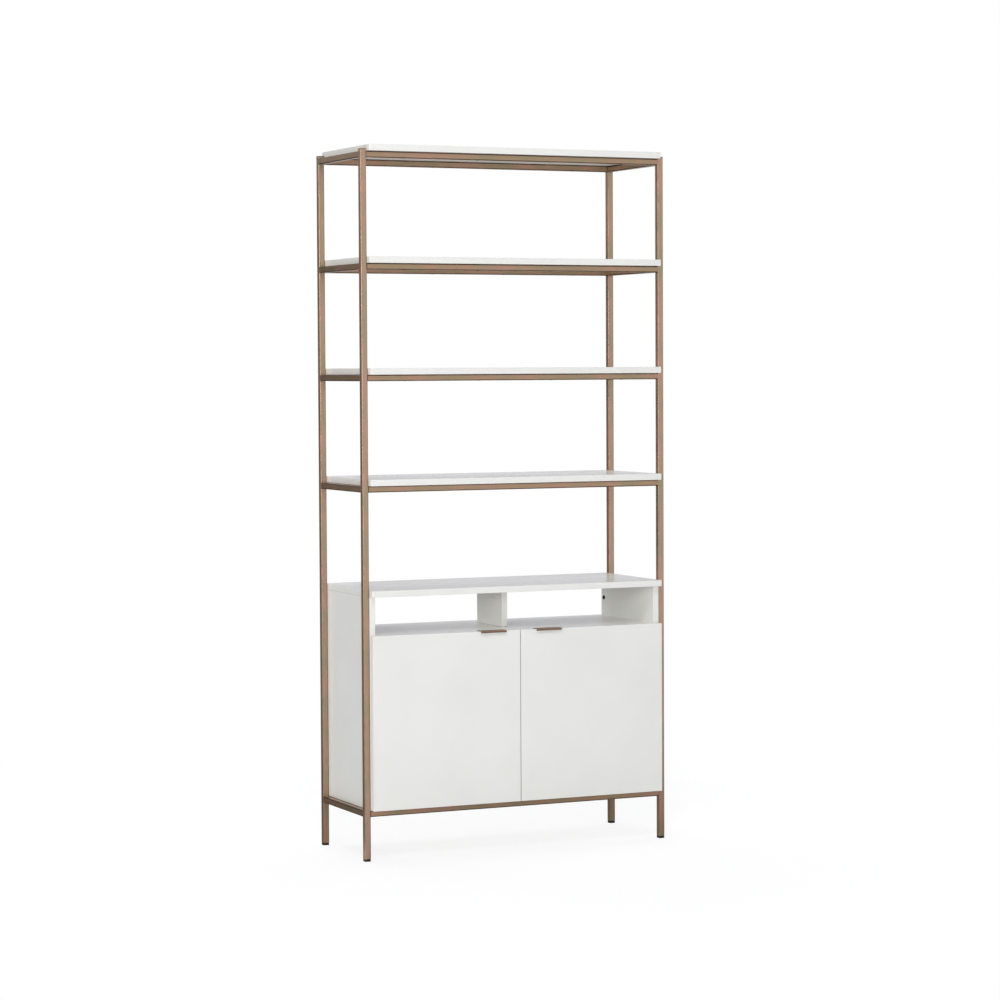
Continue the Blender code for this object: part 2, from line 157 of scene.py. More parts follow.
# Surface of revolution: a profile of (radius, height) turned about n, from the bottom up outside.
def turned(profile, segments=32):
    profile = np.array(profile, float)
    angle = np.arange(segments) * 2 * math.pi / segments
    rings = np.empty((len(profile), segments, 3))
    rings[..., 0] = profile[:, :1] * np.cos(angle)
    rings[..., 1] = profile[:, :1] * np.sin(angle)
    rings[..., 2] = profile[:, 1:]
    return ringSolid(rings)


# Plate whose radius is a function of the angle, with eased edges and a round hole or none.
def starPlate(radii, thickness, ease, hole=0, steps=3):
    angle = np.arange(len(radii)) * 2 * math.pi / len(radii)
    turn = np.linspace(0, math.pi / 2, steps + 1)
    inset = ease * (1 - np.sin(turn))
    rise = ease * (1 - np.cos(turn))
    insets = np.concatenate([inset, inset[::-1]])
    heights = np.concatenate([rise, (thickness - rise)[::-1]])
    reach = radii[None, :] - insets[:, None]
    if hole:
        reach = np.vstack([np.full(len(radii), hole), reach, np.full(len(radii), hole)])
        heights = np.concatenate([[0], heights, [thickness]])
    z = np.broadcast_to(heights[:, None], reach.shape)
    return ringSolid(np.stack([reach * np.cos(angle), reach * np.sin(angle), z], -1), wrapRings=bool(hole))


# Radius against angle of a rectangle whose corners are rounded by a high power.
def softRectangle(halfA, halfB, segments=96, power=9):
    angle = np.arange(segments) * 2 * math.pi / segments
    across = (np.abs(np.cos(angle)) / halfA) ** power
    upward = (np.abs(np.sin(angle)) / halfB) ** power
    return (across + upward) ** (-1 / power)


# Shares of the head's radius, and for crown and recess of its height
screwShape = {
    "outerRing": 0.97, "innerRing": 0.06, "wing": 0.17, "reach": 0.58,
    "crown": 0.45, "recess": 0.7,
}


# Screw head: a dome over polar rings, lowered inside a cross of four flat wings.
def crossScrew(radius, height, segments=32, rows=12):
    s = screwShape
    share = np.concatenate([[1, 1], np.linspace(s["outerRing"], s["innerRing"], rows)])
    angle = np.arange(segments) * 2 * math.pi / segments
    x = radius * share[:, None] * np.cos(angle)
    y = radius * share[:, None] * np.sin(angle)
    dome = height * (1 - s["crown"] * share[:, None] ** 4) * np.ones_like(x)
    wing, reach = s["wing"] * radius, s["reach"] * radius
    inCross = ((np.abs(x) < wing) & (np.abs(y) < reach)) | ((np.abs(y) < wing) & (np.abs(x) < reach))
    z = dome - s["recess"] * height * inCross
    z[0] = 0
    return ringSolid(np.stack([x, y, z], -1))


# Moves a solid from its own axes to the object's: n is the way its height points, a is its own X.
def toward(solid, origin, normal, along):
    points, faces, edge = solid
    n, a = np.array(normal, float), np.array(along, float)
    basis = np.stack([a, np.cross(n, a), n])
    return points @ basis + np.array(origin, float), faces, edge


# Path with each inner corner replaced by an arc that touches both straights.
def roundedPath(stops, radius, steps=6):
    stops = np.array(stops, float)
    pieces = [stops[:1]]
    for before, corner, after in zip(stops, stops[1:], stops[2:]):
        u, v = before - corner, after - corner
        u, v = u / np.linalg.norm(u), v / np.linalg.norm(v)
        halfAngle = math.acos(np.clip(u @ v, -1, 1)) / 2
        reach = radius / math.tan(halfAngle)
        centre = corner + (u + v) / np.linalg.norm(u + v) * radius / math.sin(halfAngle)
        start, end = corner + u * reach - centre, corner + v * reach - centre
        sweep = math.atan2(start[0] * end[1] - start[1] * end[0], start @ end)
        turn = np.linspace(0, sweep, steps + 1)[:, None]
        side = np.array([-start[1], start[0]])
        pieces.append(centre + np.cos(turn) * start + np.sin(turn) * side)
    return np.concatenate(pieces + [stops[-1:]])


# Both sides of a path at half a thickness, as one closed outline.
def stripOutline(path, half):
    slope = np.gradient(path, axis=0)
    slope /= np.linalg.norm(slope, axis=1)[:, None]
    side = np.stack([slope[:, 1], -slope[:, 0]], axis=1)
    return np.concatenate([path + side * half, (path - side * half)[::-1]])


def mirrorX(solid):
    points, faces, edge = solid
    return points * [-1, 1, 1], [face[::-1] for face in faces], edge


sharpAngle = math.radians(38)    # edges bent further than this stay sharp in the shading


def makePiece(name, solids, finish):
    points = np.concatenate([solid[0] for solid in solids])
    starts = np.cumsum([0] + [len(solid[0]) for solid in solids])
    faces = [[start + k for k in face] for start, solid in zip(starts.tolist(), solids) for face in solid[1]]
    mesh = bpy.data.meshes.new(name)
    mesh.from_pydata(points.tolist(), [], faces)
    # the edge mask, which the bronze coats turn into painted shade on tubes and a painted highlight on pulls
    paintedLightMask = mesh.attributes.new("edge", "FLOAT", "POINT")
    paintedLightMask.data.foreach_set("value", np.concatenate([solid[2] for solid in solids]).astype(np.float32))
    mesh.shade_smooth()
    mesh.set_sharp_from_angle(angle=sharpAngle)
    mesh.materials.append(finish)
    piece = bpy.data.objects.new(name, mesh)
    bpy.context.scene.collection.objects.link(piece)
    return piece


# post_front_left becomes postFrontLeft
def camel(node):
    first, *rest = node.split("_")
    return first + "".join(word.capitalize() for word in rest)


def standIn(node, solids, finish):
    piece = makePiece(camel(node), solids, finish)
    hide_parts(node)
    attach(piece, bodyOf[node])
    return piece


def addOn(name, solids, finish, body):
    piece = makePiece(name, solids, finish)
    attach(piece, body)


def corners(node):
    low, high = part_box(node)
    return np.array(low), np.array(high)


# Materials

def linear(hexColor):
    values = [int(hexColor[k:k + 2], 16) / 255 for k in (1, 3, 5)]
    return [v / 12.92 if v <= 0.04045 else ((v + 0.055) / 1.055) ** 2.4 for v in values] + [1]


def join(tree, node, links):
    for key, socket in links.items():
        tree.links.new(socket, node.inputs[key])


# Adds one node and gives back one of its outputs. A key is a socket's name or number, or a property.
# In a colour Mix, sockets 0, 6 and 7 are the factor and the two colours, and output 2 is the result.
def addNode(tree, kind, settings=None, links=None, out=0):
    node = tree.nodes.new("ShaderNode" + kind)
    properties = {k: v for k, v in (settings or {}).items() if isinstance(k, str) and k not in node.inputs}
    for key, value in properties.items():
        setattr(node, key, value)
    for key, value in (settings or {}).items():
        if key not in properties:
            node.inputs[key].default_value = value
    join(tree, node, links or {})
    return node.outputs[out] if node.outputs else None


def newMaterial(name, settings):
    made = bpy.data.materials.new(name)
    made.use_nodes = True
    tree = made.node_tree
    shader = tree.nodes["Principled BSDF"]
    for key, value in settings.items():
        shader.inputs[key].default_value = value
    return made, tree, shader


# Where most of a noise's values lie, as the range that a Map Range node starts from
noiseRange = {"From Min": 0.3, "From Max": 0.7}

bronze = {
    "metallic": 0.8,
    "roughness": 0.34,
    "toneSize": 85 * mm,      # slow drift between rose and olive along a tube
    "peelSize": 2.5 * mm,     # the coat's orange peel, drawn coarser than its real 1 mm so that it shows
    "flakeSize": 1.2 * mm,    # real flakes are 0.05 mm, too fine to show
    "peelHeight": 0.02 * mm,
    "edgePatch": 25 * mm,     # the painted shade on the corners, and the painted highlight on the pulls' bends, is uneven over this length
    "smearSize": 60 * mm,     # the gloss varies over this length
}
# The edge share says how far the marked edges go over to the edge tone, from and to. That tone is painted
# shade on the tubes' corners and ends, and a painted highlight on the pulls' bends.
bronzeTones = {
    "satinBronzePostCoat": {
        "rose": "#B08D7A", "olive": "#9C8C73", "flake": "#CBB4A2",
        "edge": "#46342A", "edgeShare": (0.2, 0.42),
    },
    # the rails' copy is browner and darker than the posts', with darker corners: painted shade
    "satinBronzeRailCoat": {
        "rose": "#AC8772", "olive": "#98876A", "flake": "#C9B09C",
        "edge": "#3E2E24", "edgeShare": (0.65, 0.95),
    },
    # the pulls' edge tone is lighter than their coat: a painted highlight on the bends
    "satinBronzePullCoat": {
        "rose": "#765B4B", "olive": "#685841", "flake": "#9C8069",
        "edge": "#9A7F6C", "edgeShare": (0.6, 0.92),
    },
}


# Satin bronze powder coat on steel: sprayed metallic pigment, cured to a soft peel. Its drift from rose
# to olive shows along every tube. Its corners and ends are painted darker: painted shade. The rails'
# copy is a little browner and darker than the posts', with darker corners: painted shade too. The
# pulls' is redder and darker, and painted lighter at the bends: a painted highlight.
def satinBronze(name):
    b, tones = bronze, bronzeTones[name]
    made, tree, shader = newMaterial(name, {"Metallic": b["metallic"], "IOR": 1.5})
    place = addNode(tree, "TexCoord", out="Object")
    drift = addNode(tree, "TexNoise", {"Scale": 1 / b["toneSize"], "Detail": 3}, {"Vector": place})
    drift = addNode(tree, "MapRange", {"From Min": 0.38, "From Max": 0.62}, {"Value": drift})
    base = {"data_type": "RGBA", 6: linear(tones["rose"]), 7: linear(tones["olive"])}
    color = addNode(tree, "Mix", base, {0: drift}, out=2)
    fine = {"Scale": 1 / b["flakeSize"], "Detail": 4, "Roughness": 0.7}
    flakes = addNode(tree, "TexNoise", fine, {"Vector": place})
    flakes = addNode(tree, "MapRange", {**noiseRange, "To Max": 0.16}, {"Value": flakes})
    glint = {"data_type": "RGBA", 7: linear(tones["flake"])}
    color = addNode(tree, "Mix", glint, {0: flakes, 6: color}, out=2)
    patchy = addNode(tree, "TexNoise", {"Scale": 1 / b["edgePatch"], "Detail": 4}, {"Vector": place})
    low, high = tones["edgeShare"]
    patchy = addNode(tree, "MapRange", {**noiseRange, "To Min": low, "To Max": high}, {"Value": patchy})
    # the marked edges go over to the edge tone: painted shade on the tubes, a painted highlight on the pulls
    edge = addNode(tree, "Attribute", {"attribute_name": "edge"}, out="Fac")
    edge = addNode(tree, "Math", {"operation": "MULTIPLY"}, {0: edge, 1: patchy})
    thin = {"data_type": "RGBA", 7: linear(tones["edge"])}
    color = addNode(tree, "Mix", thin, {0: edge, 6: color}, out=2)
    satin = addNode(tree, "TexNoise", {"Scale": 1 / b["smearSize"], "Detail": 4}, {"Vector": place})
    gloss = {**noiseRange, "To Min": b["roughness"] - 0.04, "To Max": b["roughness"] + 0.05}
    satin = addNode(tree, "MapRange", gloss, {"Value": satin})
    peel = addNode(tree, "TexNoise", {"Scale": 1 / b["peelSize"], "Detail": 3}, {"Vector": place})
    bump = addNode(tree, "Bump", {"Distance": b["peelHeight"], "Strength": 0.6}, {"Height": peel})
    join(tree, shader, {"Base Color": color, "Roughness": satin, "Normal": bump})
    return made


lacquer = {
    "color": "#F5F4F0",
    "shade": "#F0F0EB",
    "roughness": 0.22,
    "waveSize": 9 * mm,       # long orange peel of a sprayed and polished coat
    "waveHeight": 0.006 * mm,
    "toneSize": 260 * mm,
    "smearSize": 45 * mm,     # the gloss varies over this length
}


# Gloss polyurethane lacquer sprayed on fibreboard: a clean white with a faint long peel.
def glossWhiteLacquer():
    w = lacquer
    made, tree, shader = newMaterial("glossWhiteLacquer", {"Metallic": 0, "IOR": 1.5})
    place = addNode(tree, "TexCoord", out="Object")
    tone = addNode(tree, "TexNoise", {"Scale": 1 / w["toneSize"], "Detail": 3}, {"Vector": place})
    tone = addNode(tree, "MapRange", noiseRange, {"Value": tone})
    whites = {"data_type": "RGBA", 6: linear(w["color"]), 7: linear(w["shade"])}
    color = addNode(tree, "Mix", whites, {0: tone}, out=2)
    smear = addNode(tree, "TexNoise", {"Scale": 1 / w["smearSize"], "Detail": 4}, {"Vector": place})
    gloss = {**noiseRange, "To Min": w["roughness"] - 0.02, "To Max": w["roughness"] + 0.03}
    smear = addNode(tree, "MapRange", gloss, {"Value": smear})
    wave = addNode(tree, "TexNoise", {"Scale": 1 / w["waveSize"], "Detail": 2}, {"Vector": place})
    bump = addNode(tree, "Bump", {"Distance": w["waveHeight"], "Strength": 0.5}, {"Height": wave})
    join(tree, shader, {"Base Color": color, "Roughness": smear, "Normal": bump})
    return made


# Moulded black polyethylene: fine spark-eroded grain with grey scuffs.
def mouldedBlackPlastic():
    made, tree, shader = newMaterial("mouldedBlackPlastic", {"Metallic": 0, "IOR": 1.5, "Roughness": 0.5})
    place = addNode(tree, "TexCoord", out="Object")
    grain = addNode(tree, "TexNoise", {"Scale": 1 / (0.8 * mm), "Detail": 3}, {"Vector": place})
    spots = {"Scale": 1 / (5 * mm), "Detail": 4, "Roughness": 0.7}
    scuffs = addNode(tree, "TexNoise", spots, {"Vector": place})
    few = {"From Min": 0.5, "From Max": 0.75, "To Max": 0.35}
    scuffs = addNode(tree, "MapRange", few, {"Value": scuffs})
    blacks = {"data_type": "RGBA", 6: linear("#161616"), 7: linear("#343331")}
    color = addNode(tree, "Mix", blacks, {0: scuffs}, out=2)
    bump = addNode(tree, "Bump", {"Distance": 0.05 * mm, "Strength": 0.7}, {"Height": grain})
    join(tree, shader, {"Base Color": color, "Normal": bump})
    return made


# Nickel-plated pressed steel: bright warm grey with fine rolling marks along the strip.
def nickelPlatedSteel():
    made, tree, shader = newMaterial("nickelPlatedSteel", {"Metallic": 1})
    place = addNode(tree, "TexCoord", out="Object")
    stretched = addNode(tree, "Mapping", {"Scale": (1, 0.08, 1)}, {"Vector": place})
    fine = {"Scale": 1 / (0.6 * mm), "Detail": 4, "Roughness": 0.7}
    marks = addNode(tree, "TexNoise", fine, {"Vector": stretched})
    tone = addNode(tree, "MapRange", noiseRange, {"Value": marks})
    greys = {"data_type": "RGBA", 6: linear("#CFCBC3"), 7: linear("#BFBAB2")}
    color = addNode(tree, "Mix", greys, {0: tone}, out=2)
    gloss = addNode(tree, "MapRange", {**noiseRange, "To Min": 0.2, "To Max": 0.28}, {"Value": marks})
    bump = addNode(tree, "Bump", {"Distance": 0.003 * mm, "Strength": 0.4}, {"Height": marks})
    join(tree, shader, {"Base Color": color, "Roughness": gloss, "Normal": bump})
    return made


# Black-oxide steel: a dark dipped finish on bolts, dull with lighter rubbed spots.
def blackOxideSteel():
    made, tree, shader = newMaterial("blackOxideSteel", {"Metallic": 0.9})
    place = addNode(tree, "TexCoord", out="Object")
    rub = addNode(tree, "TexNoise", {"Scale": 1 / (2 * mm), "Detail": 4}, {"Vector": place})
    rub = addNode(tree, "MapRange", noiseRange, {"Value": rub})
    darks = {"data_type": "RGBA", 6: linear("#2A2826"), 7: linear("#3F3C39")}
    color = addNode(tree, "Mix", darks, {0: rub}, out=2)
    gloss = addNode(tree, "MapRange", {"To Min": 0.35, "To Max": 0.5}, {"Value": rub})
    join(tree, shader, {"Base Color": color, "Roughness": gloss})
    return made


# Dull black with a fine sponge surface, its 0.2 mm cells drawn coarser: painted shade, the black of a strip
# put in the shaded seams.
def closedCellFoam():
    made, tree, shader = newMaterial("closedCellFoam", {"Metallic": 0, "IOR": 1.5, "Roughness": 0.85})
    place = addNode(tree, "TexCoord", out="Object")
    cells = addNode(tree, "TexNoise", {"Scale": 1 / (0.7 * mm), "Detail": 3}, {"Vector": place})
    tone = addNode(tree, "MapRange", noiseRange, {"Value": cells})
    blacks = {"data_type": "RGBA", 6: linear("#191817"), 7: linear("#2B2927")}
    color = addNode(tree, "Mix", blacks, {0: tone}, out=2)
    bump = addNode(tree, "Bump", {"Distance": 0.08 * mm, "Strength": 0.8}, {"Height": cells})
    join(tree, shader, {"Base Color": color, "Normal": bump})
    return made


# Clear silicone, cast in domes: unevenly milky, and clearer between.
def castSilicone():
    clear = {"IOR": 1.41, "Roughness": 0.25, "Transmission Weight": 0.35, "Metallic": 0}
    made, tree, shader = newMaterial("castSilicone", clear)
    place = addNode(tree, "TexCoord", out="Object")
    milk = addNode(tree, "TexNoise", {"Scale": 1 / (3 * mm), "Detail": 2}, {"Vector": place})
    milk = addNode(tree, "MapRange", noiseRange, {"Value": milk})
    whites = {"data_type": "RGBA", 6: linear("#F2F3F2"), 7: linear("#DFE2E2")}
    join(tree, shader, {"Base Color": addNode(tree, "Mix", whites, {0: milk}, out=2)})
    return made


postCoat = satinBronze("satinBronzePostCoat")
railCoat = satinBronze("satinBronzeRailCoat")
pullCoat = satinBronze("satinBronzePullCoat")
whiteLacquer = glossWhiteLacquer()
blackPlastic = mouldedBlackPlastic()
nickel = nickelPlatedSteel()
blackSteel = blackOxideSteel()
silicone = castSilicone()
seamShadeCoat = closedCellFoam()
print("materials made:", len(bpy.data.materials))


# The tube frame

tubeFrame = {"wall": 1.5 * mm, "corner": 2.7 * mm, "endEase": 0.6 * mm}
seatGap = 0.3 * mm       # between the solids that touch on the real object
postPlaces = ("front_left", "front_right", "rear_left", "rear_right")
levels = ("base", "lower", "middle", "upper", "top")


def buildFrame():
    t = tubeFrame
    for where in postPlaces:
        low, high = corners("post_" + where)
        tube = squareTube(low, high, 2, t["wall"], t["corner"], t["endEase"])
        standIn("post_" + where, [tube], postCoat)
    for level in levels:
        for side in ("front", "rear", "left", "right"):
            node = f"rail_{level}_{side}"
            low, high = corners(node)
            axis = 0 if side in ("front", "rear") else 1
            low[axis] -= seatGap     # the weld closes the gap to the posts
            high[axis] += seatGap
            standIn(node, [squareTube(low, high, axis, t["wall"], t["corner"], t["endEase"])], railCoat)


capShape = {"ease": 0.55 * mm, "plate": 1.5 * mm, "stemInset": 1.9 * mm}
glideShape = {
    "ease": 1.4 * mm, "foot": 6.7 * mm, "stemInset": 1.5 * mm,
    "ribs": 4, "ribReach": 0.25 * mm, "ribHeight": 2 * mm, "ribEase": 0.4 * mm,
}
stemEase = 0.5 * mm


# A cap is a plate on a stem that fits the bore. A glide is a foot with a ribbed stem.
def buildEnds():
    c, g = capShape, glideShape
    for where in postPlaces:
        low, high = corners("post_cap_" + where)
        head = slab((low[0], low[1], high[2] - c["plate"]), high, c["ease"], 2)
        inset = np.array([c["stemInset"], c["stemInset"], 0])
        stem = slab(low + inset, high - inset - [0, 0, c["plate"]], stemEase, 2)
        standIn("post_cap_" + where, [head, stem], postCoat)
        low, high = corners("foot_glide_" + where)
        foot = slab(low, (high[0], high[1], g["foot"]), g["ease"], 2)
        inset = np.array([g["stemInset"], g["stemInset"], 0])
        stemLow = low + inset + [0, 0, g["foot"]]
        solids = [foot, slab(stemLow, high - inset, stemEase, 2)]
        pitch = (high[2] - stemLow[2]) / (g["ribs"] + 1)
        reach = g["ribReach"]
        for k in range(1, g["ribs"] + 1):
            ribLow = stemLow + [-reach, -reach, k * pitch]
            ribHigh = high - inset + [reach, reach, 0]
            ribHigh[2] = ribLow[2] + g["ribHeight"]
            solids.append(slab(ribLow, ribHigh, g["ribEase"], 2, 2))
        standIn("foot_glide_" + where, solids, blackPlastic)


buildFrame()
buildEnds()
print("frame built")


# Boards and cabinet

boardShape = {"ease": 1.0 * mm, "backEase": 0.6 * mm}
boardThin = {
    "top_board": 2, "shelf_upper": 2, "shelf_middle": 2, "shelf_lower": 2, "cabinet_top": 2,
    "cabinet_deck": 2, "cabinet_bottom": 2, "cabinet_inner_shelf": 2, "cabinet_back": 1,
    "cabinet_side_left": 0, "cabinet_side_right": 0, "cabinet_divider": 0,
}


def buildBoards():
    for node, thin in boardThin.items():
        low, high = corners(node)
        ease = boardShape["backEase"] if node == "cabinet_back" else boardShape["ease"]
        standIn(node, [slab(low, high, ease, thin)], whiteLacquer)


doorShape = {"ease": 0.7 * mm, "boreRadius": 17.8 * mm, "boreDepth": 11.9 * mm, "overrun": 2 * mm}
hingePlaces = [(side, level) for side in ("left", "right") for level in ("upper", "lower")]


# Keeps what the modifiers make, and drops the modifiers
def applied(piece):
    graph = bpy.context.evaluated_depsgraph_get()
    mesh = bpy.data.meshes.new_from_object(piece.evaluated_get(graph))
    piece.modifiers.clear()
    piece.data = mesh
    mesh.set_sharp_from_angle(angle=sharpAngle)


# Each door is a board with two round bores in its rear face, where the hinges' cups sit.
def buildDoors():
    d = doorShape
    for side in ("left", "right"):
        node = "door_" + side
        low, high = corners(node)
        door = standIn(node, [slab(low, high, d["ease"], 1)], whiteLacquer)
        for level in ("upper", "lower"):
            cupLow, cupHigh = corners(f"hinge_cup_{side}_{level}")
            middle = (cupLow + cupHigh) / 2
            depth, radius = d["boreDepth"], d["boreRadius"]
            bore = turned([(radius, 0), (radius, depth + d["overrun"])], 48)
            place = (middle[0], high[1] - depth, middle[2])
            cutter = makePiece("bore", [toward(bore, place, (0, 1, 0), (1, 0, 0))], whiteLacquer)
            cut = door.modifiers.new("bore", "BOOLEAN")
            cut.operation, cut.object = "DIFFERENCE", cutter
            applied(door)
            bpy.data.objects.remove(cutter)


pullShape = {"thickness": 1.5 * mm, "bend": 1.9 * mm, "endEase": 0.35 * mm, "lip": 6.3 * mm}


# A pull is a bent strip: a flange behind the door, a plate over its top edge and a lip in front.
def buildPulls():
    for side in ("left", "right"):
        node = "door_pull_" + side
        low, high = corners(node)
        half = pullShape["thickness"] / 2
        lipBottom = high[2] - pullShape["lip"]
        back, front, top = high[1] - half, low[1] + half, high[2] - half
        bentAt = [(back, low[2]), (back, top), (front, top), (front, lipBottom)]
        path = roundedPath(bentAt, pullShape["bend"])
        ease = pullShape["endEase"]
        outlines = [stripOutline(path, h) for h in (half - ease, half, half, half - ease)]
        heights = [low[0], low[0] + ease, high[0] - ease, high[0]]
        bends = np.array([0] + [0, 1, 1, 1, 1, 1, 0] * 2 + [0])    # the middle of each arc, painted lighter: a painted highlight
        edge = np.tile(np.concatenate([bends, bends[::-1]]), (4, 1))
        standIn(node, [ringSolid(stack(outlines, heights, 0), edge)], pullCoat)


buildBoards()
buildDoors()
buildPulls()
print("boards, doors and pulls built")


# Hinges

cupShape = {
    "radius": 17.3 * mm, "wall": 1.2 * mm, "rim": 18.1 * mm, "plate": 1.2 * mm, "plateEase": 0.35 * mm,
    "earHalf": (8.5 * mm, 26 * mm), "screwApart": 21.2 * mm, "screwRadius": 3.4 * mm,
    "screwHeight": 1.0 * mm, "pinRadius": 1.5 * mm,
}
armShape = {
    "height": 12 * mm, "nose": 3.2 * mm, "neck": 24 * mm, "tailInset": 1.9 * mm, "round": 1.3 * mm,
    "slot": 7.6 * mm, "earLength": 4.6 * mm, "plateHalf": (18 * mm, 22 * mm), "plate": 3 * mm,
    "plateEase": 0.6 * mm, "ease": 0.4 * mm, "tail": 4 * mm, "rings": 36,
    "plateScrewApart": 16 * mm, "plateScrewRadius": 3.8 * mm, "plateScrewHeight": 1.1 * mm,
    "adjusters": ((8 * mm, 3.0 * mm), (21 * mm, 2.7 * mm)),     # from the rear end, and radius
    "adjusterHeight": 0.9 * mm,
}
linkShape = {
    "thickness": 2.2 * mm, "height": 7 * mm, "length": 16.5 * mm, "rest": math.radians(8),
    "pinRadius": 1.6 * mm, "besidePin": 0.3 * mm, "pinFromTip": 3 * mm, "ease": 0.3 * mm,
}


# Pin: a cylinder with chamfered ends, between two heights
def pinAlong(radius, bottom, top, chamfer=0.3 * mm):
    slim = radius - chamfer
    return turned([(slim, bottom), (radius, bottom + chamfer), (radius, top - chamfer), (slim, top)], 20)


# The cup is pressed: a rounded floor, a straight wall and a flange with two ears.
def buildCups():
    c, link = cupShape, linkShape
    for side, level in hingePlaces:
        node = f"hinge_cup_{side}_{level}"
        low, high = corners(node)
        out = -1 if side == "left" else 1
        middle = (low + high) / 2
        depth = high[1] - low[1]
        r, wall = c["radius"], c["wall"]
        # radius and height: out along the floor and round its corner, up the wall, and back inside
        profile = [
            (1 * mm, 0), (r - 3 * mm, 0), (r - 1 * mm, 0.5 * mm), (r - 0.2 * mm, 1.4 * mm), (r, 3 * mm),
            (r, depth - c["plate"]), (r - wall, depth - c["plate"] / 2), (r - wall, 3 * mm),
            (r - wall - 0.8 * mm, 1.9 * mm), (r - wall - 3 * mm, wall), (1 * mm, wall),
        ]
        shell = turned(profile, 48)
        ears = np.maximum(softRectangle(*c["earHalf"]), c["rim"])
        flange = starPlate(ears, c["plate"], c["plateEase"], hole=r - wall)
        solids = [
            toward(shell, (middle[0], low[1], middle[2]), (0, 1, 0), (1, 0, 0)),
            toward(flange, (middle[0], high[1] - c["plate"], middle[2]), (0, 1, 0), (-1, 0, 0)),
        ]
        for up in (-1, 1):
            place = (middle[0], high[1], middle[2] + up * c["screwApart"])
            screw = crossScrew(c["screwRadius"], c["screwHeight"])
            solids.append(toward(screw, place, (0, 1, 0), (1, 0, 0)))
        # cross pin: beside the link's tip, on its forward side with the door shut
        arm = jointPlace[f"link_{side}_{level}_pivot"]
        cos, sin = math.cos(link["rest"]), math.sin(link["rest"])
        along = link["length"] - link["pinFromTip"]
        forward = link["thickness"] / 2 + link["besidePin"] + c["pinRadius"]
        pinX = arm[0] + out * (along * cos - forward * sin)
        place = (pinX, arm[1] - along * sin - forward * cos, middle[2])
        reach = math.sqrt((r - wall) ** 2 - (pinX - middle[0]) ** 2) + wall / 2
        solids.append(toward(pinAlong(c["pinRadius"], -reach, reach), place, (0, 0, 1), (1, 0, 0)))
        standIn(node, solids, nickel)


# Eases from 0 to 1 and stays there: three t squared less two t cubed
def smoothStep(t):
    t = np.clip(t, 0, 1)
    return t * t * (3 - 2 * t)


# The arm is a round-cornered bar whose width and place change along its length: slim at the nose, then
# widening onto the mounting plate. All is worked out for the right side and mirrored for the left.
def buildArms():
    s = armShape
    for side, level in hingePlaces:
        node = f"hinge_arm_{side}_{level}"
        low, high = corners(node)
        pin = jointPlace[f"link_{side}_{level}_pivot"]
        pinX, sideX = abs(pin[0]), max(abs(low[0]), abs(high[0]))
        plateFace = sideX - s["plate"]
        along = np.linspace(pin[1] + s["nose"], high[1], s["rings"])
        behind = along - pin[1]
        onPlate = smoothStep((behind - s["neck"] + s["nose"]) / (2 * s["nose"]))
        back = np.clip((behind - s["neck"]) / (behind[-1] - s["neck"]), 0, 1)
        inner = pinX - s["nose"] + (s["nose"] + s["tailInset"]) * back
        outer = pinX + s["nose"] + (plateFace + s["ease"] - pinX - s["nose"]) * onPlate
        end = np.where(np.arange(s["rings"]) == s["rings"] - 1, 1 - s["ease"] / s["nose"], 1)
        halves = zip((outer - inner) / 2 * end, s["height"] / 2 * end)
        outlines = [roundRectangle(tall, wide, s["round"], 4)[0] for wide, tall in halves]
        rings = stack(outlines, along, 1)
        rings[:, :, 0] += ((outer + inner) / 2)[:, None]
        rings[:, :, 2] += pin[2]
        solids = [ringSolid(rings)]
        # two ears round the pin, with the link's slot between them
        thick = (s["height"] - s["slot"]) / 2
        ear = starPlate(softRectangle(s["nose"], s["earLength"], 40, 4), thick, s["ease"])
        for bottom in (-s["height"] / 2, s["slot"] / 2):
            place = (pinX, pin[1] + s["earLength"] - s["nose"], pin[2] + bottom)
            solids.append(toward(ear, place, (0, 0, 1), (1, 0, 0)))
        # mounting plate: a body along the arm and two wings up and down
        halfLong, halfHigh = s["plateHalf"]
        lengthwise = softRectangle(halfLong, halfHigh / 2)
        upright = softRectangle(halfLong / 2, halfHigh)
        plateMiddle = high[1] - s["tail"] - halfLong
        plate = starPlate(np.maximum(lengthwise, upright), s["plate"], s["plateEase"])
        solids.append(toward(plate, (sideX, plateMiddle, pin[2]), (-1, 0, 0), (0, 1, 0)))
        for up in (-1, 1):
            place = (plateFace, plateMiddle, pin[2] + up * s["plateScrewApart"])
            screw = crossScrew(s["plateScrewRadius"], s["plateScrewHeight"])
            solids.append(toward(screw, place, (-1, 0, 0), (0, 1, 0)))
        for fromEnd, radius in s["adjusters"]:
            y = high[1] - fromEnd
            place = (np.interp(y, along, inner) + s["ease"], y, pin[2])
            solids.append(toward(crossScrew(radius, s["adjusterHeight"]), place, (-1, 0, 0), (0, 1, 0)))
        standIn(node, solids if side == "right" else [mirrorX(solid) for solid in solids], nickel)


